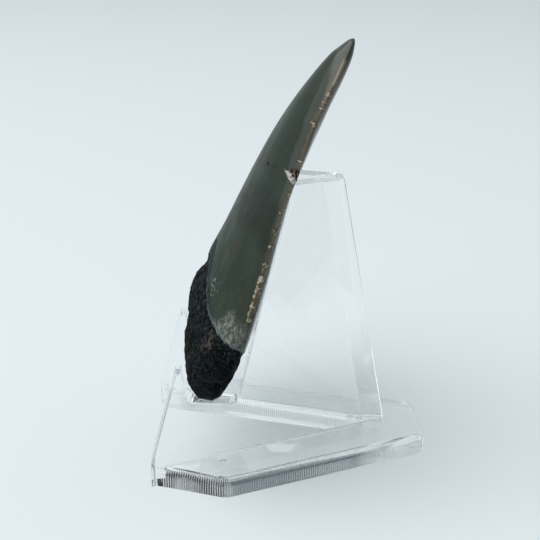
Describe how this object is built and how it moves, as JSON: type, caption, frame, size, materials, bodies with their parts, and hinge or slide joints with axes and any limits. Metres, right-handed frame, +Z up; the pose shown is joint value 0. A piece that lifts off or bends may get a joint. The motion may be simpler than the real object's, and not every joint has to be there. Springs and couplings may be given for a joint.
{
  "type": "fossil megalodon tooth",
  "caption": "Fossil shark tooth, a triangular enamel crown on a dark two-lobed root, leaning in the notches of a clear V-shaped display stand.",
  "frame": {"origin": "middle of the whole object's footprint box, on the surface it stands on", "axes": "+Z up; -Y the open front of the stand, where the tooth's rounded inner face shows; +X to the right seen from the front"},
  "size_m": [0.068, 0.0682, 0.1029],
  "materials": {
    "tooth": "fossil enamel, dark grey-green and satin, on a black grainy root",
    "clear_plastic": "clear moulded plastic, polished, with fine ribs round the foot plate's edge"
  },
  "bodies": {
    "root": {"fossil_tooth": "tooth", "display_stand": "clear_plastic"}
  },
  "joints": []
}
